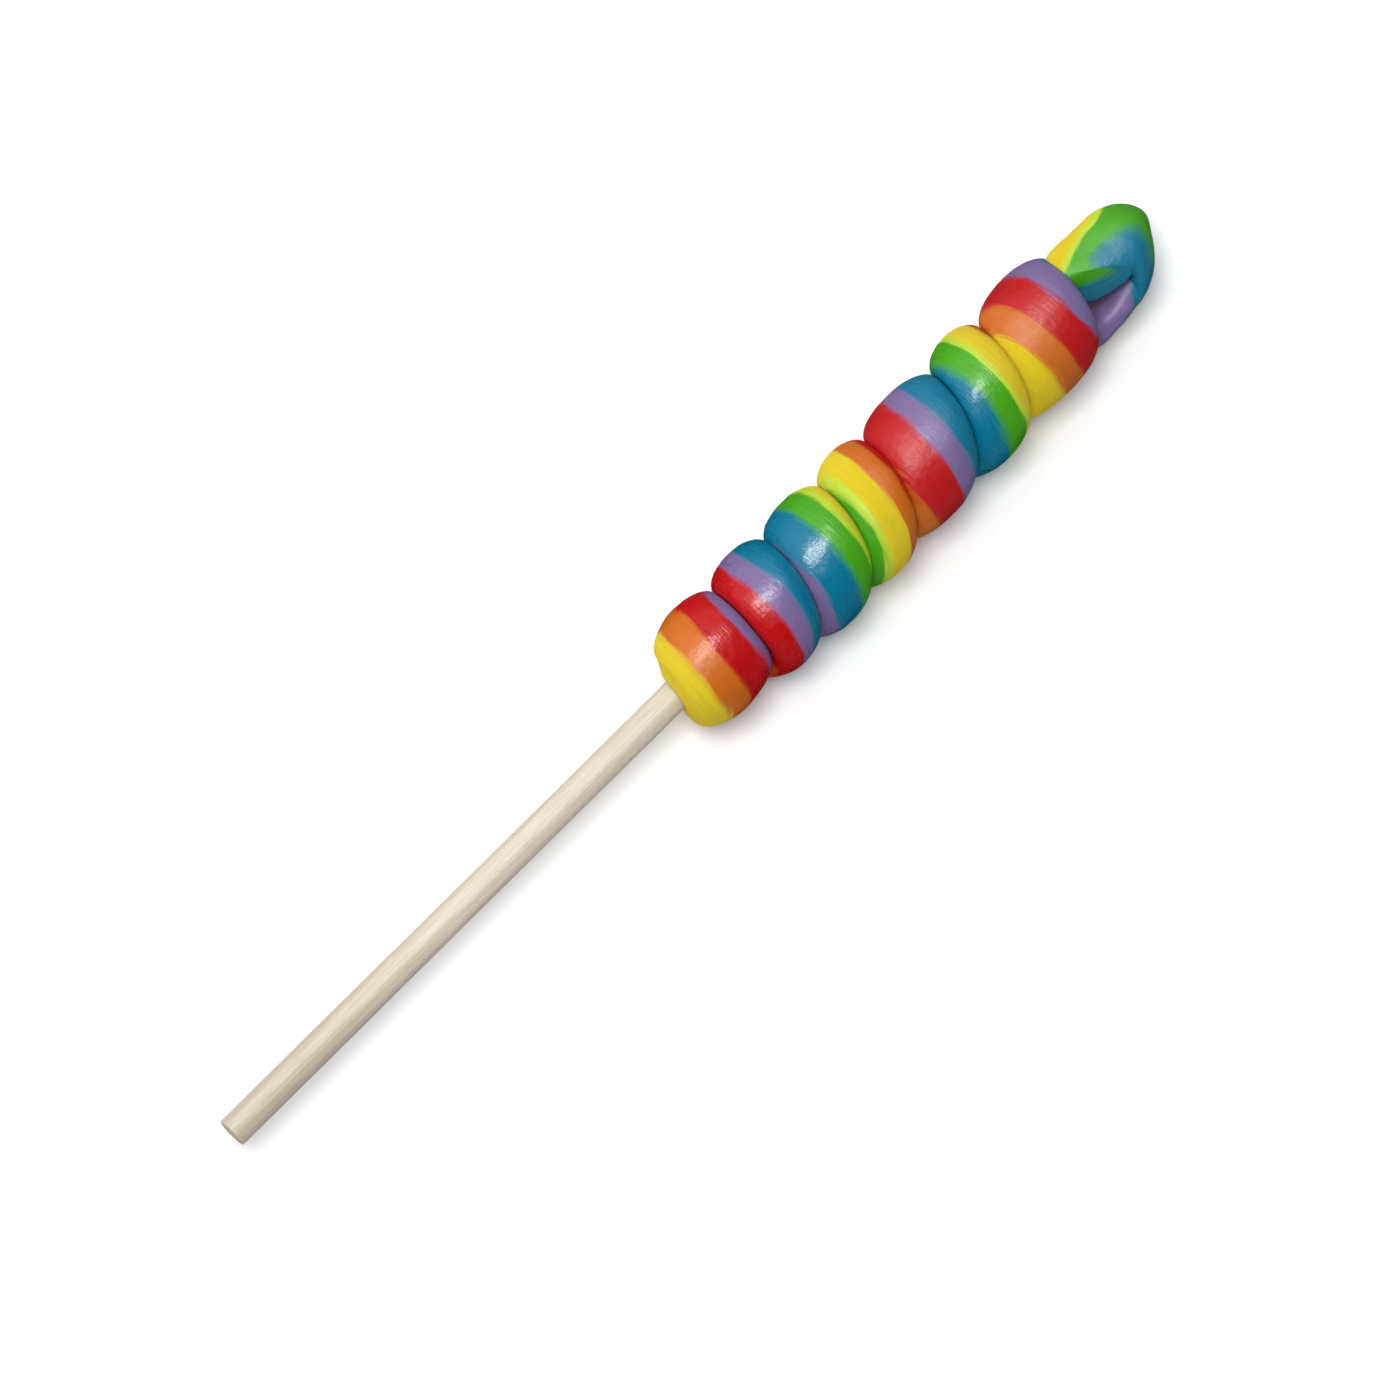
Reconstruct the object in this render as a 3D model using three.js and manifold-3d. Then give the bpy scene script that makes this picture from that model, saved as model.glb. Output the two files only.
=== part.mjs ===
// A twist lollipop: one soft sugar rope wound by hand round a wooden stick, its tail folded over the top.
// Millimetres, +Z up. It lies on its side along X, with the tip towards +X and the stick towards -X.
// The origin is on the surface that it rests on, under the middle of the whole thing.
import * as THREE from "three";
import { ParametricGeometry } from "three/addons/geometries/ParametricGeometry.js";
import { mergeVertices } from "three/addons/utils/BufferGeometryUtils.js";
import Module from "manifold-3d";

const wasm = await Module();
wasm.setup();

// The stick: a plain wooden dowel. Places along the lollipop are measured from the candy's base, at x = 0.
const STICK_RADIUS = 2.75;
const STICK_LENGTH = 200;
const STICK_SHOWN = 106.5; // how much of it stands out of the candy
const STICK_CHAMFER = 0.3;
const STICK_SIDES = 40;
const BORE_GAP = 0.15; // between the stick and the candy round it

// The rope winds left-handed. Its turns are counted from the -Y side: t = 0 there, 0.25 on top.
// Where one turn meets the next, along x, every quarter turn. A turn lies from groove(t) to groove(t + 1).
const GROOVE_FIRST = -0.5;
const GROOVE_STEP = 0.25;
const GROOVE_PLACES = [
  3.4, 1.4, 0.2, 1, 3.2, 9.8, 16.1, 17, 18.2, 21.8, 26.2, 29.4, 31.1, 34.7, 38.8, 42.8, 44.7, 47.4,
  50.3, 54.2, 56.3, 60.8, 66.1, 70.75, 73.5, 76.5, 79.9, 83, 85.7, 91.6, 98.3, 100.9, 103.2, 106, 109,
];
// The candy's radius on top of each turn, and how far each turn bulges more towards -Y than towards +Y.
const TURN_FIRST = -0.75;
const TURN_STEP = 1;
const TURN_RADII = [10.4, 10.6, 11.5, 11.65, 11.5, 11.3, 11.35, 11.1, 10.3];
const TURN_BOWS = [-0.3, -0.2, 0.6, 0.75, 0.6, 0.2, 0, -0.6, -0.6];
const ROPE_INNER = 2; // the rope's inner side, just inside the stick's surface
const ROPE_ROUNDNESS = 2.4; // exponent of the rope's section: 2 is an ellipse, more is boxier
const ROPE_START = -0.36;
const START_PINCH = 0.6; // thickness of the rope's first end, as a share of its full one
const START_LENGTH = 0.4; // turns until the rope has its full thickness
const LAST_WOUND = 6.7; // here the rope leaves the winding
const SQUASH = 0.2; // how far each turn is pressed into its neighbours
// Round the stick the candy's base is drawn in to a dome, by a different depth at every quarter turn.
const BASE_FIRST = -0.25;
const BASE_DRAWN_IN = [0, 0.8, 1.9, 2.3, 0];
const BASE_DOME = 1.3; // exponent of the dome's outline
const BASE_FROM = 0.62; // the dome fades out where the second turn covers the first
const BASE_TO = 0.74;

// The tail rises from behind on the -Y side, folds over a slanting axis and is tucked down on top.
const TAIL_HALF_WIDTH = 6.5;
const TAIL_HALF_THICKNESS = 4.1;
const RISE_PLACES = [
  new THREE.Vector3(102, -3.3, -6),
  new THREE.Vector3(105.4, -5.5, -5.2),
  new THREE.Vector3(109, -4.9, -4.4),
];
const RISE_HALF_THICKNESSES = [3.8, 2.9, 3.2];
const RISE_OUTWARD_ANGLES = [230, 199, 199]; // degrees from +Y towards +Z
const RISE_NARROWING = 0.8; // how much narrower the rope is in its bend towards the tip
const FOLD_RADIUS = 4.7;
const FOLD_CENTRE = new THREE.Vector3(112.5, -0.3, 0.3);
const FOLD_AXIS_ANGLE = 144; // degrees from +Y towards +Z
const FOLD_WIDENING = 1.2; // how much wider the tail is where it folds
const FOLD_OUTWARD_ANGLE = 213.5;
const FOLD_STEPS = 6;
const TUCK_LENGTH = 13;
const TUCK_STEPS = 4;
const TUCK_NARROWING = 0.35; // on its -Y side, from one distance beyond the fold to another
const TUCK_NARROWS_FROM = 2;
const TUCK_NARROWS_TO = 10;
const FACET_PLACE = new THREE.Vector3(104.2, 1.7, 7.9); // on the slanting face of the tucked end
const FACET_NORMAL = new THREE.Vector3(-0.46, -0.66, 0.59);
const FACET_BLOCK = 30; // of the block that cuts it
// The fold's far side comes to a blunt point, and slopes back from it to both sides.
const POINT_Y = 2.6;
const POINT_BLUNTNESS = 2;
const POINT_SLOPE = 0.5;
const POINT_FROM = 105;
const POINT_TO = 116;

// The solid middle of the winding, where the turns are pressed into one.
const CORE_RADIUS = 7.1;
const CORE_ENDS = [0.2, 100];
const CORE_ROUNDING = 4;
const CORE_SIDES = 36;
const BORE_FROM = -7; // clear of the candy's base

const REST_HEIGHT = 11.15; // from the surface up to the stick's axis; the turns have small flats there
const GROUND = [400, 100, 20]; // the block below it that cuts the flats

// How finely the rope is made. Its keys are the places that its curves pass through.
const KEYS_PER_TURN = 16;
const STATIONS_PER_KEY = 2;
const SECTION_POINTS = 20;
const START_CAP = 2.5; // keys over which each end of the rope rounds off
const TUCKED_CAP = 1.2;
const PIECES = 9; // each shorter than a turn, so that none meets itself
const TONGUE_LENGTH = 0.4; // keys by which each piece reaches into the next
const TONGUE_SLIMMING = 0.5; // from the piece's outline to its middle
const SAME_CORNER = 1e-5; // corners closer than this are one

const X = new THREE.Vector3(1, 0, 0);
const Z = new THREE.Vector3(0, 0, 1);
const lerp = THREE.MathUtils.lerp;
const radians = THREE.MathUtils.degToRad;

/** A smooth curve through evenly spaced values, as a function of the place. */
function through(values, first, step) {
  const curve = new THREE.SplineCurve(values.map((value, i) => new THREE.Vector2(i, value)));
  const length = step * (values.length - 1);
  return (place) => curve.getPoint(THREE.MathUtils.clamp((place - first) / length, 0, 1)).y;
}

const groove = through(GROOVE_PLACES, GROOVE_FIRST, GROOVE_STEP);
const turnRadius = through(TURN_RADII, TURN_FIRST, TURN_STEP);
const turnBow = through(TURN_BOWS, TURN_FIRST, TURN_STEP);
const baseDrawnIn = through(BASE_DRAWN_IN, BASE_FIRST, GROOVE_STEP);

/** Direction across the lollipop, at an angle in degrees from +Y towards +Z. */
function sideways(angle) {
  return new THREE.Vector3(0, Math.cos(radians(angle)), Math.sin(radians(angle)));
}

/** The rope at one key. Its size is half its width, half its thickness, and how far the base is drawn in. */
function keyOf(middle, outward, across, halfWidth, halfThickness, drawnIn = 0) {
  return { middle, outward, across, size: new THREE.Vector3(halfWidth, halfThickness, drawnIn) };
}

/** The wound rope at turn t. */
function woundKey(t) {
  const outward = sideways(180 - 360 * t);
  const outer = turnRadius(t) - turnBow(t) * outward.y;
  const grown = THREE.MathUtils.smoothstep(t, ROPE_START, ROPE_START + START_LENGTH);
  const halfThickness = (lerp(START_PINCH, 1, grown) * (outer - ROPE_INNER)) / 2;
  const low = groove(t);
  const high = groove(t + 1);
  const middle = outward.clone().multiplyScalar(ROPE_INNER + halfThickness).setX((low + high) / 2);
  const covered = THREE.MathUtils.smoothstep(t, BASE_FROM, BASE_TO);
  const drawnIn = baseDrawnIn(t) * (1 - covered);
  return keyOf(middle, outward, X.clone(), (high - low) / 2 + SQUASH, halfThickness, drawnIn);
}

/** The tail's fold, from rising (0) to coming back down (1), and beyond it along the tuck. */
function foldKey(share, tucked = 0) {
  const axis = sideways(FOLD_AXIS_ANGLE);
  const turn = Math.PI * share;
  const back = X.clone().cross(axis).multiplyScalar(FOLD_RADIUS);
  const outward = sideways(FOLD_OUTWARD_ANGLE);
  const across = X.clone().cross(outward).applyAxisAngle(axis, turn);
  const narrowed = TUCK_NARROWING * THREE.MathUtils.smoothstep(tucked, TUCK_NARROWS_FROM, TUCK_NARROWS_TO);
  const middle = back.applyAxisAngle(axis, turn).add(FOLD_CENTRE).addScaledVector(X, -tucked);
  const halfWidth = TAIL_HALF_WIDTH + FOLD_WIDENING * Math.sin(turn) - narrowed;
  middle.addScaledVector(across, narrowed);
  return keyOf(middle, outward.applyAxisAngle(axis, turn), across, halfWidth, TAIL_HALF_THICKNESS);
}

/** The stretch between the winding and the fold, where the rope bends round towards the tip. */
function riseKeys(last, fold) {
  const places = [last.middle, ...RISE_PLACES, fold.middle];
  return RISE_PLACES.map((place, i) => {
    const share = (i + 1) / (RISE_PLACES.length + 1);
    const along = places[i + 2].clone().sub(places[i]).normalize();
    const outward = sideways(RISE_OUTWARD_ANGLES[i]);
    const across = along.cross(outward).normalize();
    const halfWidth = lerp(last.size.x, fold.size.x, share) - RISE_NARROWING * Math.sin(Math.PI * share);
    return keyOf(place, outward, across, halfWidth, RISE_HALF_THICKNESSES[i]);
  });
}

function ropeKeys() {
  const keys = [];
  const count = Math.round((LAST_WOUND - ROPE_START) * KEYS_PER_TURN);
  for (let i = 0; i <= count; i++) {
    keys.push(woundKey(lerp(ROPE_START, LAST_WOUND, i / count)));
  }
  keys.push(...riseKeys(keys.at(-1), foldKey(0)));
  for (let i = 0; i <= FOLD_STEPS; i++) {
    keys.push(foldKey(i / FOLD_STEPS));
  }
  for (let i = 1; i <= TUCK_STEPS; i++) {
    keys.push(foldKey(1, (TUCK_LENGTH * i) / TUCK_STEPS));
  }
  return keys;
}

const keys = ropeKeys();
const LAST_KEY = keys.length - 1;
const curveOf = (part) =>
  new THREE.CatmullRomCurve3(keys.map((key) => key[part]), false, "catmullrom", 0.5);
const middles = curveOf("middle");
const outwards = curveOf("outward");
const acrosses = curveOf("across");
const sizes = curveOf("size");

/** Draws the tail's far side out to its point. */
function pointed(place) {
  const aside = Math.hypot(place.y - POINT_Y, POINT_BLUNTNESS) - POINT_BLUNTNESS;
  place.x -= POINT_SLOPE * aside * THREE.MathUtils.smoothstep(place.x, POINT_FROM, POINT_TO);
  return place;
}

function ropeMiddle(key) {
  return pointed(middles.getPoint(THREE.MathUtils.clamp(key / LAST_KEY, 0, 1)));
}

/** A point on the rope: key counts along it, angle goes round it in radians from outward to across. */
function ropePoint(key, angle, target) {
  const share = THREE.MathUtils.clamp(key / LAST_KEY, 0, 1);
  const toEnd = Math.min(key / START_CAP, (LAST_KEY - key) / TUCKED_CAP, 1);
  const shrink = Math.sqrt(Math.max(0, 1 - (1 - toEnd) ** 2));
  const size = sizes.getPoint(share);
  const power = 2 / ROPE_ROUNDNESS;
  const part = (value) => Math.sign(value) * Math.abs(value) ** power;
  const out = part(Math.cos(angle));
  const aside = part(Math.sin(angle));
  target.copy(middles.getPoint(share));
  target.addScaledVector(outwards.getPoint(share).normalize(), shrink * size.y * out);
  target.addScaledVector(acrosses.getPoint(share).normalize(), shrink * size.x * aside);
  target.x -= size.z * Math.max(0, -out) ** BASE_DOME * Math.max(0, -aside) ** 2;
  pointed(target);
}

/** A closed piece of the rope from one key to another, with a tongue that reaches into the next piece. */
function ropePiece(from, to) {
  const rings = Math.round((to - from) * STATIONS_PER_KEY) + 1;
  const rows = rings + 2;
  const place = (row) => from + (to - from) * ((THREE.MathUtils.clamp(row, 1, rings) - 1) / (rings - 1));
  return new ParametricGeometry(
    (u, v, target) => {
      const row = Math.round(v * rows);
      const angle = (2 * Math.PI * (Math.round(u * SECTION_POINTS) % SECTION_POINTS)) / SECTION_POINTS;
      const tongue = row > rings ? TONGUE_LENGTH : 0;
      const key = place(row) + tongue;
      ropePoint(key, angle, target);
      if (row === 0 || row > rings) {
        target.lerp(ropeMiddle(key), row === rings + 1 ? TONGUE_SLIMMING : 1);
      }
    },
    SECTION_POINTS,
    rows,
  );
}

/** A three.js shape as a manifold solid, with shared corners merged and flattened triangles dropped. */
function solid(geometry) {
  geometry.deleteAttribute("normal");
  geometry.deleteAttribute("uv");
  const merged = mergeVertices(geometry, SAME_CORNER);
  const corners = merged.index.array;
  const triangles = [];
  for (let i = 0; i < corners.length; i += 3) {
    const [a, b, c] = corners.slice(i, i + 3);
    if (a !== b && b !== c && c !== a) {
      triangles.push(a, b, c);
    }
  }
  return new wasm.Manifold(
    new wasm.Mesh({
      numProp: 3,
      vertProperties: new Float32Array(merged.attributes.position.array),
      triVerts: new Uint32Array(triangles),
    }),
  );
}

/** A solid of revolution about the X axis, from [x, radius] pairs that start and end on the axis. */
function turned(outline, sides) {
  const geometry = new THREE.LatheGeometry(outline.map(([x, r]) => new THREE.Vector2(r, x)), sides);
  return geometry.rotateZ(-Math.PI / 2);
}

function rod(from, to, radius, chamfer, sides) {
  return turned(
    [
      [from, 0],
      [from, radius - chamfer],
      [from + chamfer, radius],
      [to - chamfer, radius],
      [to, radius - chamfer],
      [to, 0],
    ],
    sides,
  );
}

/** A box whose one face is the slanting face of the tucked end. */
function facetBox() {
  const box = new THREE.BoxGeometry(FACET_BLOCK, FACET_BLOCK, FACET_BLOCK).translate(0, 0, FACET_BLOCK / 2);
  box.applyQuaternion(new THREE.Quaternion().setFromUnitVectors(Z, FACET_NORMAL.clone().normalize()));
  return box.translate(...FACET_PLACE);
}

function candyShape() {
  let candy = solid(rod(...CORE_ENDS, CORE_RADIUS, CORE_ROUNDING, CORE_SIDES));
  const tuck = LAST_KEY - TUCK_STEPS;
  for (let i = 0; i < PIECES; i++) {
    const from = Math.round((tuck * i) / PIECES);
    const to = Math.round((tuck * (i + 1)) / PIECES);
    candy = candy.add(solid(ropePiece(from, to)));
  }
  candy = candy.add(solid(ropePiece(tuck, LAST_KEY)).subtract(solid(facetBox())));
  const stickEnd = STICK_LENGTH - STICK_SHOWN;
  const bore = rod(BORE_FROM, stickEnd + BORE_GAP, STICK_RADIUS + BORE_GAP, STICK_CHAMFER, STICK_SIDES);
  const ground = new THREE.BoxGeometry(...GROUND).translate(0, 0, -REST_HEIGHT - GROUND[2] / 2);
  return candy.subtract(solid(bore)).subtract(solid(ground));
}

function meshOf(name, shape, material) {
  const { vertProperties, triVerts } = shape.getMesh();
  const geometry = new THREE.BufferGeometry();
  geometry.setAttribute("position", new THREE.BufferAttribute(vertProperties, 3));
  geometry.setIndex(new THREE.BufferAttribute(triVerts, 1));
  geometry.computeVertexNormals();
  const mesh = new THREE.Mesh(geometry, material);
  mesh.name = name;
  return mesh;
}

const sugar = new THREE.MeshStandardMaterial({ color: 0xd8421c, roughness: 0.25, metalness: 0 });
const wood = new THREE.MeshStandardMaterial({ color: 0xdcc7a8, roughness: 0.75, metalness: 0 });

const stickShape = rod(-STICK_SHOWN, STICK_LENGTH - STICK_SHOWN, STICK_RADIUS, STICK_CHAMFER, STICK_SIDES);
const lollipop = new THREE.Group();
lollipop.add(meshOf("candy", candyShape(), sugar));
lollipop.add(meshOf("stick", solid(stickShape), wood));

const box = new THREE.Box3().setFromObject(lollipop);
const middle = box.getCenter(new THREE.Vector3());
lollipop.position.set(-middle.x, -middle.y, REST_HEIGHT);

export default lollipop;
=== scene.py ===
"""A rainbow twist lollipop: one soft sugar rope wound by hand round a wooden stick, lying on its side.

Its tail is folded over the top and pressed down against the last turn. Sizes are in millimetres until a
finished piece is brought to the frame's metres. Places along the lollipop are counted from the candy's base.
"""

import math

import bmesh
import bpy
import numpy as np
from mathutils import Matrix, Quaternion, Vector, noise


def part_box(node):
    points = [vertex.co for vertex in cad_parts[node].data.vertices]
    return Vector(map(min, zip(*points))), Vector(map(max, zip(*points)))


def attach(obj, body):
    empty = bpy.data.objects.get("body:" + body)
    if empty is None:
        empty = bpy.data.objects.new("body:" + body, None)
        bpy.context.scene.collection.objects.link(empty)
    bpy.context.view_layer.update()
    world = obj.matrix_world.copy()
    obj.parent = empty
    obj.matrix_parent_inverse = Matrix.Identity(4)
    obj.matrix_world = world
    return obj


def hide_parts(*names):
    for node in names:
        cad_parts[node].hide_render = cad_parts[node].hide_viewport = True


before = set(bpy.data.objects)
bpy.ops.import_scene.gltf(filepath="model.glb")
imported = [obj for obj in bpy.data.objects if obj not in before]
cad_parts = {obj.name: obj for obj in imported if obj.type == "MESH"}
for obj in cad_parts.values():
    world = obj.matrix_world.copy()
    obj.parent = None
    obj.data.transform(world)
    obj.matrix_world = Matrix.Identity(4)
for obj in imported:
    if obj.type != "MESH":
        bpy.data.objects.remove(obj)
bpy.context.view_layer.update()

MM = 0.001
ALONG = Vector((1, 0, 0))  # along the lollipop, towards the tip
ASIDE = Vector((0, 1, 0))  # across it, level

# The stick.
STICK_RADIUS = 2.75
STICK_SHOWN = 106.5
STICK_LENGTH = 200.0
STICK_END = STICK_LENGTH - STICK_SHOWN
STICK_ROUNDING, ROUNDING_STEPS = 0.3, 3
STICK_SIDES = 48
STICK_CUTS = 80  # along it

# The rope's winding. Turns are counted from the -Y side: 0 there, 0.25 on top, 0.5 on the +Y side.
ROPE_START = -0.36
LAST_WOUND = 6.7
# The groove's place along the lollipop, for every quarter turn.
GROOVE_FIRST, GROOVE_STEP = -0.5, 0.25
GROOVE_PLACES = [
    3.4, 1.4, 0.2, 1.0, 3.2, 9.8, 16.1, 17.0, 18.2, 21.8, 26.2, 29.4, 31.1, 34.7, 38.8, 42.8, 44.7, 47.4,
    50.3, 54.2, 56.3, 60.8, 66.1, 70.75, 73.5, 76.5, 79.9, 83.0, 85.7, 91.6, 98.3, 100.9, 103.2, 106, 109,
]
# How far out the rope reaches, for every whole turn, and how much further than that on the -Y side.
TURN_FIRST, TURN_STEP = -0.75, 1.0
TURN_RADII = [10.4, 10.6, 11.5, 11.65, 11.5, 11.3, 11.35, 11.1, 10.3]
TURN_BOWS = [-0.3, -0.2, 0.6, 0.75, 0.6, 0.2, 0, -0.6, -0.6]
ROPE_INNER = 2.8  # the turns lie just clear of the stick
CORE_INNER = 0.15  # beyond the stick's end they close round nothing
CLOSES_FROM, CLOSES_TO = STICK_END + 0.2, STICK_END + 1.2
ON_AXIS = 0.01  # nearer than this counts as on the stick's axis
START_PINCH = 0.6  # share of its thickness that the rope starts with
START_LENGTH = 0.4  # turns over which it grows to the whole of it
# In turns, where the rope first lies against the turn below it, and where nothing lies above it any more.
BACKED_FROM, BACKED_TO = ROPE_START + 0.98, ROPE_START + 1.1
FREE_FROM, FREE_TO = LAST_WOUND - 1.12, LAST_WOUND - 1
# How far the candy's base is drawn in round the stick, for every quarter turn. It makes a dome there.
BASE_FIRST = -0.25
BASE_DRAWN_IN = [0, 0.8, 1.9, 2.3, 0]
BASE_DOME = 1.3

# The section of the rope. Each roundness is an exponent: 2 is an ellipse, more is boxier.
ROUND_OUTSIDE = 2.25
ROUND_BASE = 1.8  # towards the stick, on the first turn
ROUND_INSIDE = 5.0  # pressed on the stick
ROUND_TAIL = 2.4
SWELL = 0.25  # how far a turn would bulge past the groove if its neighbour weren't there
ROOM = SWELL + 1  # more than it can fill, where it has no neighbour
GROOVE_GAP = 0.03

# The tail: it rises from behind, folds over a slanting axis and is tucked down on top.
TAIL_HALF_WIDTH = 6.5
TAIL_HALF_THICKNESS = 4.1
RISE_PLACES = [Vector((102.0, -3.3, -6.0)), Vector((105.4, -5.5, -5.2)), Vector((109.0, -4.9, -4.4))]
RISE_HALF_THICKNESSES = [3.8, 2.9, 3.2]
RISE_OUTWARD_ANGLES = [230, 199, 199]
RISE_NARROWING = 0.8
FOLD_RADIUS = 4.7
FOLD_CENTRE = Vector((112.5, -0.3, 0.3))
FOLD_AXIS_ANGLE = 144
FOLD_WIDENING = 1.2
FOLD_OUTWARD_ANGLE = 213.5
TUCK_LENGTH = 13
TUCK_NARROWING = 0.35  # on the side of the slit
TUCK_NARROWS_FROM, TUCK_NARROWS_TO = 2, 10  # along the tuck
# The slanting face along which its tucked end is pressed flat.
FACET_PLACE = Vector((104.2, 1.7, 7.9))
FACET_NORMAL = Vector((-0.46, -0.66, 0.59)).normalized()
FACET_EDGE = 0.45  # how softly the face's edge is rounded
# Its far end comes to a blunt point at this Y, and slopes back on both sides from there.
POINT_Y = 2.6
POINT_BLUNTNESS = 2
POINT_SLOPE = 0.5
POINT_FROM, POINT_TO = 105, 116

# The rope's hand-made unevenness: how high its swellings and its dimples are, and how far apart.
SWELLINGS_HIGH, SWELLINGS_APART = 0.22, 6.5
DIMPLES_HIGH, DIMPLES_APART = 0.07, 2.0

# How finely the rope is made.
KEYS_PER_TURN = 16
RINGS_PER_KEY = 8
START_CAP, TUCKED_CAP = 2.5, 1.2  # keys over which its two ends are rounded off
OUTER_COLUMNS, INNER_COLUMNS = 40, 24
SECTION_ANGLES = np.concatenate([
    np.linspace(-90, 90, OUTER_COLUMNS + 1)[:-1],
    np.linspace(90, 270, INNER_COLUMNS + 1),
])
SECTION_COS, SECTION_SIN = np.cos(np.radians(SECTION_ANGLES)), np.sin(np.radians(SECTION_ANGLES))
SAME_PLACE = 0.004  # corners closer than this are merged
WIDTH = 9  # a key's width comes after its middle and its two directions

# Stripes, counted 0 yellow, 1 orange, 2 red, 3 violet, 4 blue, 5 green, and round again.
STRIPES = 6
STRIPE_SEAM = 2.0  # inside the red one
STRIPE_BORDERS = [2.63, 3.29, 4.44, 5.38, 5.68, 6.71, 7.54]  # with a thin lime one before yellow
STRIPE_BLENDS = [0.1, 0.1, 0.18, 0.08, 0.14, 0.1, 0.1]
# The stripe in the middle of the outer side, and how many lie below it and above it, for every quarter turn.
MIDDLE_STRIPES = [
    1.9, 1.75, 1.5, 1.55, 1.52, 1.9, 2.85, 3.0, 3.24, 3.45, 3.95, 4.44, 4.94, 5.6, 6.25, 6.45,
    6.62, 7.2, 8.05, 8.79, 8.95, 9.4, 10.45, 11.02, 11.65, 12.15, 12.85, 13.85, 14.65, 15.3,
]
STRIPES_BELOW = [
    1.3, 1.3, 1.25, 1.2, 1.2, 1.2, 1.2, 1.0, 1.4, 1.4, 1.25, 1.4, 1.4, 1.4, 1.4, 1.4,
    0.95, 1.1, 1.3, 1.26, 1.2, 1.2, 1.15, 1.28, 1.15, 1.2, 1.1, 1.8, 1.25, 1.1,
]
STRIPES_ABOVE = [
    1.5, 1.4, 1.3, 1.5, 1.4, 1.4, 1.2, 0.8, 1.4, 1.4, 1.4, 1.4, 1.45, 1.4, 1.4, 1.4,
    1.4, 1.4, 1.4, 1.44, 1.5, 1.5, 1.5, 1.6, 1.6, 1.5, 1.45, 1.5, 0.9, 0.8,
]
# Along the tail: the stripe in the middle, and how many lie above it and below it.
RISE_STRIPES = [(17.6, 2.9, 2.8), (17.8, 3.0, 3.0), (17.6, 2.6, 2.7)]
FOLD_STRIPES = [
    (16.6, 0.8, 1.1), (16.3, 0.1, 0.6), (16.4, 0.1, 0.6), (16.9, 0.1, 0.8), (16.9, 0.4, 0.7),
    (16.6, 1.0, 0.7), (16.4, 1.75, 0.7),
]
TUCK_STRIPES = [(16.4, 1.8, 0.7), (16.6, 1.8, 0.75), (17.1, 1.4, 0.9), (17.3, 1.2, 1.0)]

# The sugar's noises that follow the rope: how fast along it, how fast round it, detail and roughness.
WANDER, WANDER_FAR = (0.09, 1.1, 2.0, 0.5), 0.55  # how far the stripes stray
FEATHER, FEATHER_FAR = (0.22, 9.0, 3.0, 0.6), 0.34  # and how far their edges fray
STREAKS = (0.12, 16.0, 4.0, 0.65)
DRAW_LINES, DRAW_LINES_HIGH = (0.15, 11.0, 3.0, 0.6), 0.5
# Its noises that don't: how fast, detail and roughness.
PITS, PITS_HIGH = (0.75, 3.0, 0.55), 0.7
SPECKLES, SPECKLES_ROUGHER = (1.3, 3.0, 0.5), 0.2
PATCHES, PATCHES_ROUGHER = (0.11, 1.0, 0.5), 0.3
# Where a noise shows: from one value to another, and by how much at each of the two.
STREAKS_SHOW = (0.25, 0.55, 0.3, 0.0)
STREAK_TINT = (0.62, 0.5, 0.5, 1)
# Where hands have dulled the rope: millimetres along it, and how much rougher it is there.
DULLED_ALONG = [
    (0, 0.0), (135, 0.0), (166, 0.06), (213, 0.2), (244, 0.0), (275, 0.0), (305, 0.15), (330, 0.2),
]
ROPE_MEASURED = 380.0  # a little more than its length
SUGAR_BUMP = (0.5, 0.35 * MM)  # its strength, and how deep
SUGAR_DEPTH = {
    "IOR": 1.37,
    "Subsurface Weight": 0.15,
    "Subsurface Radius": (1.0, 0.7, 0.5),
    "Subsurface Scale": 2 * MM,
}

# The birch's noises: how stretched along the stick, how fast, detail and roughness, and where each shows.
FIBRES, FIBRES_SHOW = (0.05, 2.6, 4.0, 0.65), (0.35, 0.6, 0.35, 0.0)
BANDS, BANDS_SHOW = (0.02, 0.5, 2.0, 0.5), (0.3, 0.7, 0.0, 1.0)
BIRCH_ROUGHNESS = (0.3, 0.7, 0.72, 0.58)  # from one value of the fibres to another
BIRCH_BUMP = (0.35, 0.2 * MM)
HELD_PART = (-105.0, -58.0, 1.0, 0.0)  # in millimetres along the frame's x, all of the tint to none
HELD_TINT = (0.84, 0.83, 0.78, 1)

# The studio, in metres.
TABLE_HALF = 4.0
TABLE_GRAIN = (0.4, 2.0, 0.5)
TABLE_WHITES = ((0.93, 0.93, 0.935, 1), (0.95, 0.95, 0.95, 1))
TABLE_ROUGHNESS = 0.8
AIR_COLOUR, AIR_LIGHT = (0.95, 0.97, 1.0, 1), 0.36
# Each light stands on a slant from the camera's line towards +Y and faces the candy: its name, the slant in
# degrees, how far off, how long and how wide it is, its watts, its colour, and whether it is only mirrored.
LIT_PLACE = Vector((0.04, 0, 0.012))
SOFT_LIGHTS = [
    ("overhead_panel", 9, 1.1, 0.45, 0.45, 9.4, (1, 1, 1), False),
    ("side_panel", 48, 1.2, 2.2, 1.0, 7.4, (1, 1, 1), False),
    ("window", 46, 1.0, 3.0, 1.75, 18.0, (0.97, 0.99, 1.0), True),
    ("lamp_strip", 17, 1.0, 1.1, 0.1, 29.0, (1, 0.98, 0.95), True),
]

# The camera, in millimetres and degrees.
CAMERA_TILT = 12.0  # from straight above, towards the stick's end
CAMERA_TURN = 44.7
CAMERA_FAR = 1000.0
CAMERA_TARGET = Vector((3.07, -3.62, 0.65))
HALF_FRAME = 120.4  # half of what it sees across, at its target
SENSOR = 36  # its width


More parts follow.
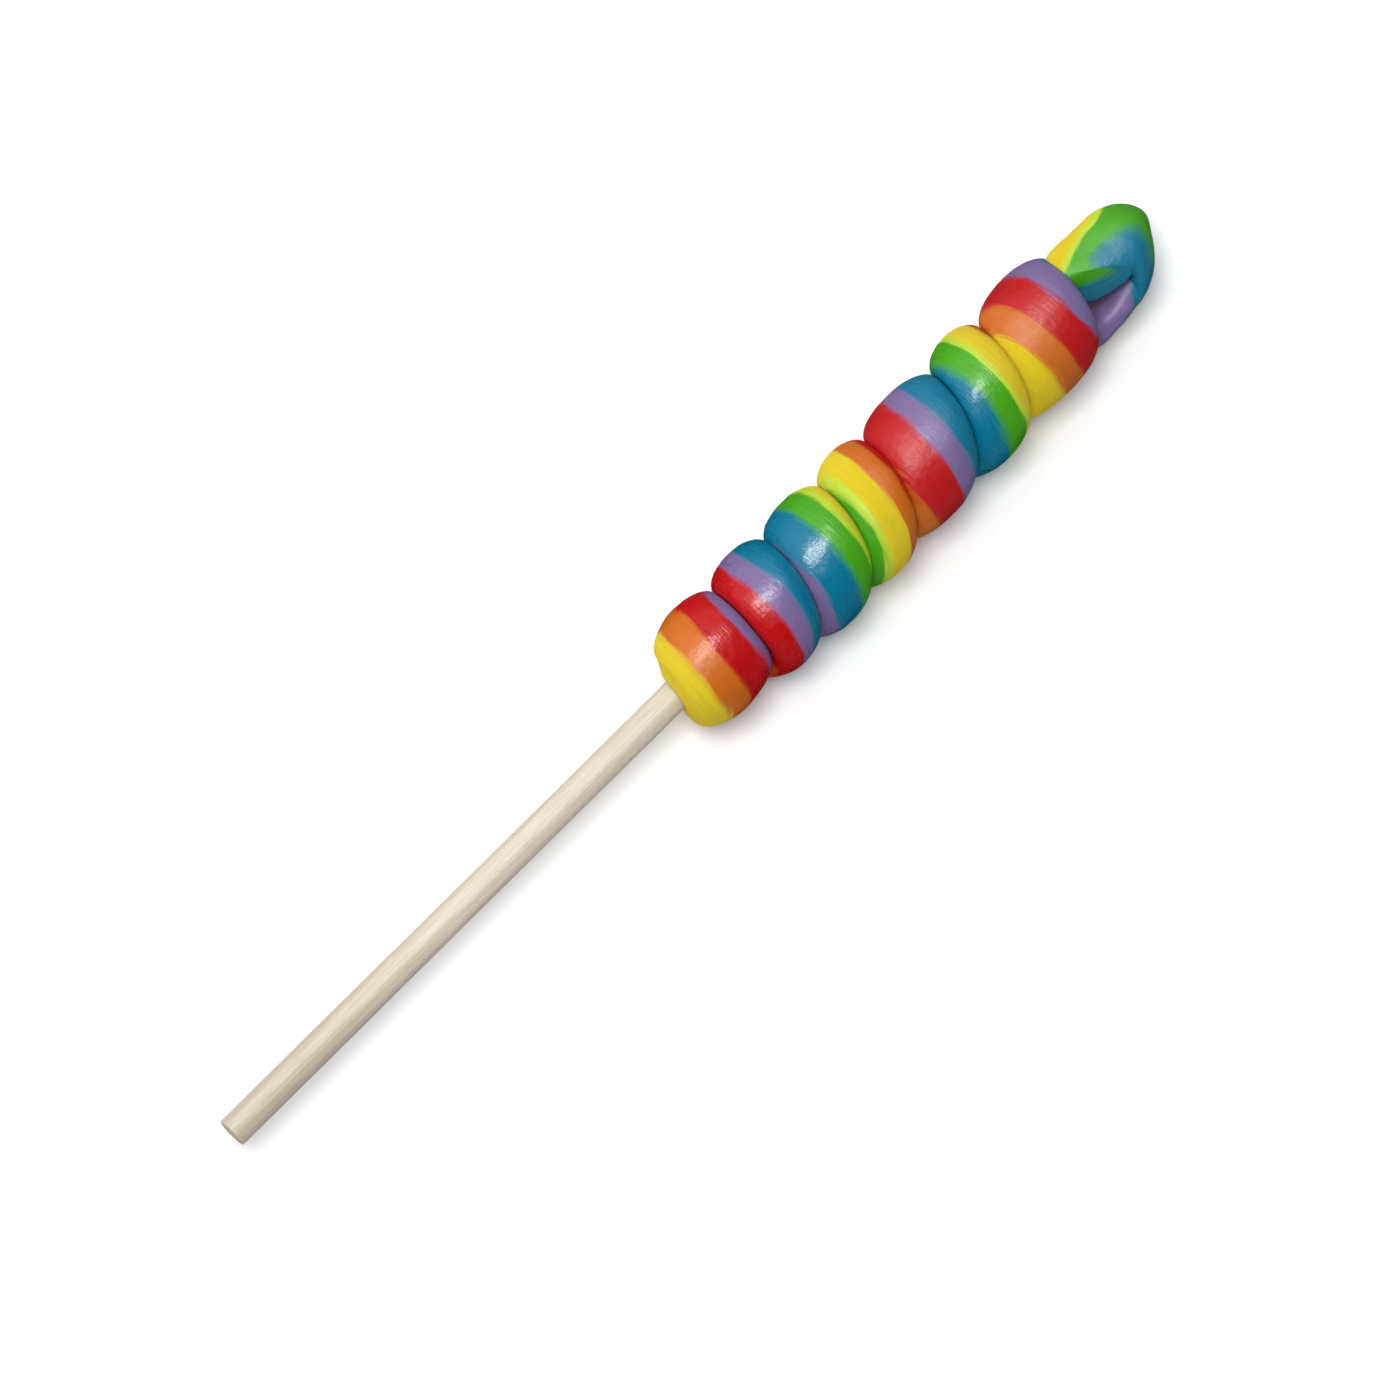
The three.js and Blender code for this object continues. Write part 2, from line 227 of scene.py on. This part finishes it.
def smoothstep(value, low, high):
    share = np.clip((value - low) / (high - low), 0, 1)
    return share * share * (3 - 2 * share)


def soft_min(a, b, softness):
    """The smaller of two values, with the corner between them rounded off."""
    return 0.5 * (a + b - np.sqrt((a - b) ** 2 + softness**2))


def curve_through(values, places):
    """A smooth curve through evenly spaced values (rows), at places counted in values from 0."""
    values = np.asarray(values, float)
    last = len(values) - 1
    places = np.clip(np.asarray(places, float), 0, last)
    at = np.minimum(places.astype(int), last - 1)
    t = places - at
    if values.ndim > 1:
        t = t[..., None]
    before, here = values[np.maximum(at - 1, 0)], values[at]
    there, after = values[at + 1], values[np.minimum(at + 2, last)]
    leaving, arriving = (there - before) / 2, (after - here) / 2
    return (
        here
        + leaving * t
        + (3 * (there - here) - 2 * leaving - arriving) * t**2
        + (2 * (here - there) + leaving + arriving) * t**3
    )


def groove(t):
    return float(curve_through(GROOVE_PLACES, (t - GROOVE_FIRST) / GROOVE_STEP))


def sideways(angle):
    """Direction across the lollipop, at an angle in degrees from +Y towards +Z."""
    return Vector((0, math.cos(math.radians(angle)), math.sin(math.radians(angle))))


def key_row(middle, outward, across, width, thickness, stripes, wound=0, backed=0, topped=0, drawn_in=0):
    """One key of the rope, as a row of numbers that a curve is run through.

    Its width and thickness are halves. The turn below backs its side towards the base, and the turn above
    tops its side towards the tip, from not at all (0) to fully (1).
    """
    return [*middle, *outward, *across, width, thickness, *stripes, wound, backed, topped, drawn_in]


def wound_key(t):
    """The rope wound on the stick, at a number of turns."""
    outward = sideways(180 - 360 * t)
    place = (t - TURN_FIRST) / TURN_STEP
    outer = curve_through(TURN_RADII, place) - curve_through(TURN_BOWS, place) * outward.y
    grown = START_PINCH + (1 - START_PINCH) * smoothstep(t, ROPE_START, ROPE_START + START_LENGTH)
    thickness = grown * (outer - ROPE_INNER) / 2
    low, high = groove(t), groove(t + 1)
    middle = outward * (ROPE_INNER + thickness) + Vector(((low + high) / 2, 0, 0))
    quarter = (t - GROOVE_FIRST) / GROOVE_STEP
    stripes = [curve_through(table, quarter) for table in (MIDDLE_STRIPES, STRIPES_ABOVE, STRIPES_BELOW)]
    backed = smoothstep(t, BACKED_FROM, BACKED_TO)
    topped = 1 - smoothstep(t, FREE_FROM, FREE_TO)
    drawn_in = float(curve_through(BASE_DRAWN_IN, (t - BASE_FIRST) / GROOVE_STEP)) * (1 - backed)
    return key_row(middle, outward, ALONG, (high - low) / 2, thickness, stripes, 1, backed, topped, drawn_in)


def fold_key(share, stripes, tucked=0.0):
    """The tail's fold, from rising (0) to coming back down (1), and beyond it along the tuck."""
    axis = sideways(FOLD_AXIS_ANGLE)
    turn = Quaternion(axis, math.pi * share)
    outward = sideways(FOLD_OUTWARD_ANGLE)
    middle = turn @ (ALONG.cross(axis) * FOLD_RADIUS) + FOLD_CENTRE - ALONG * tucked
    across = turn @ ALONG.cross(outward)
    narrowed = TUCK_NARROWING * smoothstep(tucked, TUCK_NARROWS_FROM, TUCK_NARROWS_TO)
    width = TAIL_HALF_WIDTH + FOLD_WIDENING * math.sin(math.pi * share) - narrowed
    return key_row(middle + across * narrowed, turn @ outward, across, width, TAIL_HALF_THICKNESS, stripes)


def rise_keys(last, fold):
    """The stretch between the winding and the fold, where the rope bends round towards the tip."""
    places = [Vector(last[:3]), *RISE_PLACES, Vector(fold[:3])]
    keys = []
    for i, place in enumerate(RISE_PLACES):
        share = (i + 1) / (len(RISE_PLACES) + 1)
        along = (places[i + 2] - places[i]).normalized()
        outward = sideways(RISE_OUTWARD_ANGLES[i])
        across = along.cross(outward).normalized()
        narrowed = RISE_NARROWING * math.sin(math.pi * share)
        width = last[WIDTH] + (fold[WIDTH] - last[WIDTH]) * share - narrowed
        keys.append(key_row(place, outward, across, width, RISE_HALF_THICKNESSES[i], RISE_STRIPES[i]))
    return keys


def rope_keys():
    """All keys of the rope, from its start to its tucked end, and the number of the tuck's first key."""
    count = round((LAST_WOUND - ROPE_START) * KEYS_PER_TURN)
    turns = [ROPE_START + (LAST_WOUND - ROPE_START) * i / count for i in range(count + 1)]
    keys = [wound_key(t) for t in turns]
    keys += rise_keys(keys[-1], fold_key(0, FOLD_STRIPES[0]))
    keys += [fold_key(i / (len(FOLD_STRIPES) - 1), stripes) for i, stripes in enumerate(FOLD_STRIPES)]
    tuck = len(keys) - 1
    for i, stripes in enumerate(TUCK_STRIPES):
        keys.append(fold_key(1, stripes, TUCK_LENGTH * (i + 1) / len(TUCK_STRIPES)))
    return np.array(keys), tuck


def signed_power(values, power):
    return np.sign(values) * np.abs(values) ** power


def section(width, thickness, above, below, wound, backed, topped):
    """The rope's outline across itself, ring by ring: how far out, how far across, and its stripe offset."""
    outer, base_side = (SECTION_ANGLES <= 90)[None], (SECTION_SIN < 0)[None]
    roundness = np.where(outer, ROUND_OUTSIDE, ROUND_TAIL + (ROUND_INSIDE - ROUND_TAIL) * wound)
    roundness = np.where(outer & (wound < 0.5), ROUND_TAIL, roundness)
    towards_base = ROUND_BASE + (ROUND_OUTSIDE - ROUND_BASE) * backed
    roundness = np.where(outer & base_side & (wound > 0.5), towards_base, roundness)
    out = thickness * signed_power(SECTION_COS, 2 / roundness)
    held = np.where(base_side, backed, topped)
    across = (width + SWELL * held) * signed_power(SECTION_SIN, 2 / roundness)
    limit = width - GROOVE_GAP + (1 - held) * ROOM
    across = np.clip(across, -limit, limit)
    spread = signed_power(SECTION_SIN, 2 / ROUND_TAIL)[None]
    half = np.where(spread > 0, above, below)
    stripe = np.where(outer, half * spread, STRIPES / 2 - (STRIPES / 2 - half) * spread)
    return out, across, stripe


def unevenness(place):
    swellings = SWELLINGS_HIGH * noise.noise(place / SWELLINGS_APART)
    return swellings + DIMPLES_HIGH * noise.noise(place / DIMPLES_APART)


def uneven(points, outward, across, wound):
    """Swellings and dimples on the free skin, and none where it is pressed on the stick or on itself."""
    high = np.array([unevenness(Vector(p)) for p in points.reshape(-1, 3)]).reshape(points.shape[:2])
    free = wound * np.sqrt(np.clip(SECTION_COS, 0, 1)) + (1 - wound)
    skin = outward * SECTION_COS[:, None] + across * SECTION_SIN[:, None]
    return points + skin * (high * free)[..., None]


def pointed(points):
    """Draws the tail's far side out to its point."""
    x, y, z = points[..., 0], points[..., 1], points[..., 2]
    aside = np.hypot(y - POINT_Y, POINT_BLUNTNESS) - POINT_BLUNTNESS
    x = x - POINT_SLOPE * aside * smoothstep(x, POINT_FROM, POINT_TO)
    return np.stack([x, y, z], -1)


def rope_surface():
    """Places, lengths and stripes of the whole rope: one row for each ring, one column round it."""
    keys, tuck = rope_keys()
    last = len(keys) - 1
    at = np.linspace(0, last, last * RINGS_PER_KEY + 1)
    rows = curve_through(keys, at)
    middle, outward, across = (rows[:, None, i : i + 3] for i in range(0, WIDTH, 3))
    outward = outward / np.linalg.norm(outward, axis=-1, keepdims=True)
    across = across / np.linalg.norm(across, axis=-1, keepdims=True)
    width, thickness, stripe, above, below, wound, backed, topped, drawn_in = (
        rows[:, i, None] for i in range(WIDTH, rows.shape[1])
    )
    to_end = np.minimum(np.minimum(at / START_CAP, (last - at) / TUCKED_CAP), 1)[:, None]
    shrink = np.sqrt(np.maximum(0, 1 - (1 - to_end) ** 2))
    a, b, offset = section(width, thickness, above, below, wound, backed, topped)
    points = middle + outward * (a * shrink)[..., None] + across * (b * shrink)[..., None]
    points = uneven(points, outward, across, wound)
    # The base is a dome round the stick.
    inside = np.clip(-a / thickness, 0, 1) ** BASE_DOME
    points[..., 0] -= drawn_in * inside * np.clip(-b / width, 0, 1) ** 2
    # Beyond the stick the turns close on the axis.
    radius = np.hypot(points[..., 1], points[..., 2])
    seat = thickness + ROPE_INNER
    closing = smoothstep(points[..., 0], CLOSES_FROM, CLOSES_TO) * wound * (radius < seat)
    closed = CORE_INNER + (radius - ROPE_INNER) * (seat - CORE_INNER) / (seat - ROPE_INNER)
    factor = 1 + closing * (closed / np.maximum(radius, ON_AXIS) - 1)
    points[..., 1] *= factor
    points[..., 2] *= factor
    points = pointed(points)
    # The tucked end is pressed flat along a slanting face.
    pressed = (at > tuck)[:, None]
    beyond = (points - np.array(FACET_PLACE)) @ np.array(FACET_NORMAL)
    slide = (beyond - soft_min(beyond, 0.0, FACET_EDGE)) / -FACET_NORMAL.x
    points[..., 0] += np.where(pressed, slide, 0)
    steps = np.linalg.norm(np.diff(rows[:, :3], axis=0), axis=1)
    length = np.concatenate([[0], np.cumsum(steps)])[:, None] + np.zeros_like(offset)
    return points, length, stripe + offset


def finish_mesh(name, mesh_work, material, node):
    """Turns finished mesh work into a piece, in metres, riding the frame in place of its CAD node."""
    bmesh.ops.recalc_face_normals(mesh_work, faces=mesh_work.faces)
    mesh = bpy.data.meshes.new(name)
    mesh_work.to_mesh(mesh)
    mesh_work.free()
    mesh.shade_smooth()
    mesh.materials.append(material)
    piece = bpy.data.objects.new(name, mesh)
    bpy.context.scene.collection.objects.link(piece)
    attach(piece, "root")
    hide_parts(node)


def base_place():
    """Where the candy's base is in the frame, on the stick's axis."""
    low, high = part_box("stick")
    return Vector((low.x + STICK_SHOWN * MM, (low.y + high.y) / 2, (low.z + high.z) / 2))


def to_frame(work):
    """Brings mesh work from millimetres to the frame's metres, and keeps it above the table."""
    bmesh.ops.scale(work, vec=(MM, MM, MM), verts=work.verts)
    bmesh.ops.translate(work, vec=base_place(), verts=work.verts)
    for v in work.verts:
        v.co.z = max(v.co.z, 0.0)


def sugar_rope(material):
    """A grid of rings and columns, rolled up into the rope."""
    points, length, stripe = rope_surface()
    rings, columns = points.shape[:2]
    work = bmesh.new()
    bmesh.ops.create_grid(work, x_segments=columns - 1, y_segments=rings - 1, size=0.5)
    rope = work.loops.layers.uv.new("rope")
    spots = {v: divmod(i, columns) for i, v in enumerate(work.verts)}
    for face in work.faces:
        for loop in face.loops:
            spot = spots[loop.vert]
            loop[rope].uv = (length[spot], stripe[spot])
    for v, spot in spots.items():
        v.co = points[spot]
    bmesh.ops.remove_doubles(work, verts=work.verts, dist=SAME_PLACE)
    to_frame(work)
    finish_mesh("sugar_rope", work, material, "candy")


def reach(edge):
    """How far an edge runs along the lollipop."""
    return abs(edge.verts[0].co.x - edge.verts[1].co.x)


def wooden_stick(material):
    """A round disc drawn out to a dowel, with its rims rounded."""
    work = bmesh.new()
    turn = Matrix.Translation(-STICK_SHOWN * ALONG) @ Matrix.Rotation(math.pi / 2, 4, "Y")
    bmesh.ops.create_circle(work, cap_ends=True, segments=STICK_SIDES, radius=STICK_RADIUS, matrix=turn)
    grown = bmesh.ops.extrude_face_region(work, geom=work.faces[:])
    far = [g for g in grown["geom"] if isinstance(g, bmesh.types.BMVert)]
    bmesh.ops.translate(work, vec=STICK_LENGTH * ALONG, verts=far)
    rims = [e for e in work.edges if reach(e) < STICK_LENGTH / 2]
    bmesh.ops.bevel(
        work, geom=rims, offset=STICK_ROUNDING, segments=ROUNDING_STEPS, profile=0.5,
        affect="EDGES", material=-1,
    )
    sides = [e for e in work.edges if reach(e) > STICK_LENGTH / 2]
    bmesh.ops.subdivide_edges(work, edges=sides, cuts=STICK_CUTS, use_grid_fill=True)
    to_frame(work)
    finish_mesh("wooden_stick", work, material, "stick")


class Finish:
    """A material under construction: makes nodes and links them."""

    MIX_SHARE, MIX_A, MIX_B, MIX_RESULT = 0, 6, 7, 2  # the sockets of a Mix node that are for colours

    def __init__(self, name):
        self.material = bpy.data.materials.new(name)
        self.material.use_nodes = True
        self.tree = self.material.node_tree
        self.shader = self.tree.nodes["Principled BSDF"]

    def feed(self, socket, value):
        if isinstance(value, bpy.types.NodeSocket):
            self.tree.links.new(value, socket)
        else:
            socket.default_value = value

    def node(self, kind, fed=(), **settings):
        """A node whose first sockets are fed in turn."""
        made = self.tree.nodes.new(kind)
        for name, value in settings.items():
            setattr(made, name, value)
        for socket, value in zip(made.inputs, fed):
            self.feed(socket, value)
        return made

    def feed_named(self, node, values):
        for name, value in values.items():
            self.feed(node.inputs[name], value)

    def looks(self, values):
        self.feed_named(self.shader, values)

    def math(self, operation, *values):
        return self.node("ShaderNodeMath", values, operation=operation).outputs[0]

    def between(self, value, low, high, at_low, at_high):
        """Runs softly from one result to another as a value goes from low to high."""
        spans = (value, low, high, at_low, at_high)
        return self.node("ShaderNodeMapRange", spans, interpolation_type="SMOOTHSTEP").outputs[0]

    def noise(self, vector, scale, detail, roughness):
        made = self.node("ShaderNodeTexNoise", noise_dimensions="3D")
        self.feed_named(made, {"Vector": vector, "Scale": scale, "Detail": detail, "Roughness": roughness})
        return made.outputs["Fac"]

    def swayed(self, value, noise_value, far):
        """A value moved up and down by a noise."""
        return self.math("ADD", value, self.math("MULTIPLY", self.math("SUBTRACT", noise_value, 0.5), far))

    def mix(self, share, a, b, blend="MIX"):
        made = self.node("ShaderNodeMix", data_type="RGBA", blend_type=blend)
        for socket, value in ((self.MIX_SHARE, share), (self.MIX_A, a), (self.MIX_B, b)):
            self.feed(made.inputs[socket], value)
        return made.outputs[self.MIX_RESULT]

    def ramp(self, share, stops, interpolation="LINEAR"):
        """Colours run from stop to stop, each at its place from 0 to 1."""
        made = self.node("ShaderNodeValToRGB", (share,))
        made.color_ramp.interpolation = interpolation
        elements = made.color_ramp.elements
        while len(elements) < len(stops):
            elements.new(0.5)
        for element, (place, colour) in zip(elements, stops):
            element.position = place
            element.color = colour
        return made.outputs[0]

    def bump(self, height, strength, distance):
        made = self.node("ShaderNodeBump")
        self.feed_named(made, {"Height": height, "Strength": strength, "Distance": distance})
        return made.outputs[0]

    def object_millimetres(self, stretch=1.0):
        """Places on the piece in millimetres, with those along the stick stretched or not."""
        where = self.node("ShaderNodeTexCoord").outputs["Object"]
        scaled = self.node("ShaderNodeMapping", vector_type="POINT")
        self.feed_named(scaled, {"Vector": where, "Scale": (stretch / MM, 1 / MM, 1 / MM)})
        return scaled.outputs[0]


def srgb(red, green, blue):
    """A colour as a screen shows it, 0 to 255, as the light it stands for."""
    linear = []
    for value in (red, green, blue):
        v = value / 255
        linear.append(v / 12.92 if v <= 0.04045 else ((v + 0.055) / 1.055) ** 2.4)
    return (*linear, 1.0)


def grey(value):
    return (value, value, value, 1)


YELLOW = srgb(203, 179, 1)
ORANGE = srgb(191, 97, 0)
RED = srgb(178, 2, 7)
VIOLET = srgb(115, 98, 145)
BLUE = srgb(0, 110, 140)
GREEN = srgb(66, 156, 15)
LIME = srgb(176, 198, 40)
STRIPE_COLOURS = [RED, VIOLET, BLUE, GREEN, LIME, YELLOW, ORANGE, RED]
STRIPE_ROUGHNESSES = [0.31, 0.3, 0.3, 0.36, 0.55, 0.9, 0.42, 0.31]  # yellow sugar has more air in it
BIRCH, PALE_BIRCH = srgb(194, 181, 162), srgb(204, 193, 179)
BIRCH_FIBRE = srgb(172, 151, 126)


def striped_sugar():
    """Pulled sugar in soft-edged stripes, with a satin skin."""
    sugar = Finish("striped_sugar")
    rope = sugar.node("ShaderNodeUVMap", uv_map="rope").outputs[0]
    split = sugar.node("ShaderNodeSeparateXYZ", (rope,))
    length, stripe = split.outputs[0], split.outputs[1]
    # Round the rope, so that what follows the stripes has no seam.
    turn = sugar.math("MULTIPLY", stripe, math.tau / STRIPES)
    round_a = sugar.math("COSINE", turn)
    round_b = sugar.math("SINE", turn)

    def rope_noise(per_mm, per_turn, detail, roughness):
        where = sugar.node("ShaderNodeCombineXYZ", (
            sugar.math("MULTIPLY", length, per_mm),
            sugar.math("MULTIPLY", round_a, per_turn),
            sugar.math("MULTIPLY", round_b, per_turn),
        ))
        return sugar.noise(where.outputs[0], 1.0, detail, roughness)

    moved = sugar.swayed(stripe, rope_noise(*WANDER), WANDER_FAR)
    moved = sugar.swayed(moved, rope_noise(*FEATHER), FEATHER_FAR)
    past_seam = sugar.math("SUBTRACT", moved, STRIPE_SEAM)
    share = sugar.math("FRACT", sugar.math("DIVIDE", past_seam, float(STRIPES)))

    def striped(values):
        """A value for each stripe, running softly into the next one's."""
        stops = [(STRIPE_SEAM, values[0])]
        for border, blend, before, after in zip(STRIPE_BORDERS, STRIPE_BLENDS, values, values[1:]):
            stops += [(border - blend, before), (border + blend, after)]
        stops = [((place - STRIPE_SEAM) / STRIPES, value) for place, value in stops]
        return sugar.ramp(share, stops, "EASE")

    # It is streaky along the rope.
    streaks = sugar.between(rope_noise(*STREAKS), *STREAKS_SHOW)
    colour = sugar.mix(streaks, striped(STRIPE_COLOURS), STREAK_TINT, "MULTIPLY")
    # It is glossier in places, and duller where it was handled longest.
    rough = striped([grey(value) for value in STRIPE_ROUGHNESSES])
    rough = sugar.swayed(rough, sugar.noise(sugar.object_millimetres(), *SPECKLES), SPECKLES_ROUGHER)
    rough = sugar.swayed(rough, sugar.noise(sugar.object_millimetres(), *PATCHES), PATCHES_ROUGHER)
    measured = sugar.math("DIVIDE", length, ROPE_MEASURED)
    dulled = sugar.ramp(measured, [(place / ROPE_MEASURED, grey(value)) for place, value in DULLED_ALONG])
    rough = sugar.math("ADD", rough, dulled)
    # It has fine draw lines and shallow pits.
    lines = sugar.math("MULTIPLY", rope_noise(*DRAW_LINES), DRAW_LINES_HIGH)
    pits = sugar.math("MULTIPLY", sugar.noise(sugar.object_millimetres(), *PITS), PITS_HIGH)
    relief = sugar.bump(sugar.math("ADD", lines, pits), *SUGAR_BUMP)
    sugar.looks({"Base Color": colour, "Roughness": rough, "Normal": relief, **SUGAR_DEPTH})
    return sugar.material


def bare_birch():
    """Bare wood with long fibres, a little darker at the end that is held."""
    wood = Finish("bare_birch")

    def birch_noise(stretch, scale, detail, roughness):
        return wood.noise(wood.object_millimetres(stretch), scale, detail, roughness)

    fibres = birch_noise(*FIBRES)
    colour = wood.mix(wood.between(birch_noise(*BANDS), *BANDS_SHOW), BIRCH, PALE_BIRCH)
    colour = wood.mix(wood.between(fibres, *FIBRES_SHOW), colour, BIRCH_FIBRE)
    along = wood.node("ShaderNodeSeparateXYZ", (wood.object_millimetres(),)).outputs[0]
    colour = wood.mix(wood.between(along, *HELD_PART), colour, HELD_TINT, "MULTIPLY")
    rough = wood.between(fibres, *BIRCH_ROUGHNESS)
    wood.looks({"Base Color": colour, "Roughness": rough, "Normal": wood.bump(fibres, *BIRCH_BUMP)})
    return wood.material


def white_table():
    paper = Finish("white_table")
    colour = paper.mix(paper.noise(paper.object_millimetres(), *TABLE_GRAIN), *TABLE_WHITES)
    paper.looks({"Base Color": colour, "Roughness": TABLE_ROUGHNESS})
    return paper.material


def table():
    work = bmesh.new()
    bmesh.ops.create_grid(work, x_segments=1, y_segments=1, size=TABLE_HALF)
    mesh = bpy.data.meshes.new("table_top")
    work.to_mesh(mesh)
    work.free()
    mesh.materials.append(white_table())
    floor = bpy.data.objects.new("table_top", mesh)
    bpy.context.scene.collection.objects.link(floor)
    floor.visible_glossy = False


def camera_line():
    """Direction from the lollipop to the camera."""
    tilt = math.radians(CAMERA_TILT)
    return Vector((-math.sin(tilt), 0, math.cos(tilt)))


def put(name, data, place, right, up, back):
    """Adds a lamp or a camera at a place, facing away from its back."""
    thing = bpy.data.objects.new(name, data)
    thing.matrix_world = Matrix.Translation(place) @ Matrix((right, up, back)).transposed().to_4x4()
    bpy.context.scene.collection.objects.link(thing)
    return thing


def soft_light(name, slant, distance, along, across, watts, colour, only_mirrored):
    data = bpy.data.lights.new(name, "AREA")
    data.shape = "RECTANGLE"
    data.size, data.size_y = along, across
    data.energy = watts
    data.color = colour
    away = camera_line() * math.cos(math.radians(slant)) + ASIDE * math.sin(math.radians(slant))
    right = ASIDE.cross(away).normalized()
    lamp = put(name, data, LIT_PLACE + away * distance, right, away.cross(right), away)
    lamp.visible_diffuse = not only_mirrored
    lamp.visible_glossy = only_mirrored


def studio():
    """A pale table, soft panels, and a window and a lamp strip that the glossy sugar mirrors."""
    table()
    world = bpy.data.worlds.new("studio_air")
    world.use_nodes = True
    air = world.node_tree.nodes["Background"]
    air.inputs["Color"].default_value = AIR_COLOUR
    air.inputs["Strength"].default_value = AIR_LIGHT
    bpy.context.scene.world = world
    world.cycles_visibility.glossy = False
    for light in SOFT_LIGHTS:
        soft_light(*light)
    bpy.context.scene.view_settings.view_transform = "Standard"
    bpy.context.scene.view_settings.look = "None"


def camera():
    """Looks down on the lollipop, a little from its stick's end, the stick running to the lower left."""
    turn = math.radians(CAMERA_TURN)
    back = camera_line()
    along, across = ASIDE.cross(back), -ASIDE
    data = bpy.data.cameras.new("camera")
    data.sensor_width = SENSOR
    data.lens = SENSOR / 2 * CAMERA_FAR / HALF_FRAME
    place = base_place() + (CAMERA_TARGET + back * CAMERA_FAR) * MM
    right = along * math.cos(turn) + across * math.sin(turn)
    up = along * math.sin(turn) - across * math.cos(turn)
    bpy.context.scene.camera = put("camera", data, place, right, up, back)


sugar_rope(striped_sugar())
wooden_stick(bare_birch())
studio()
camera()
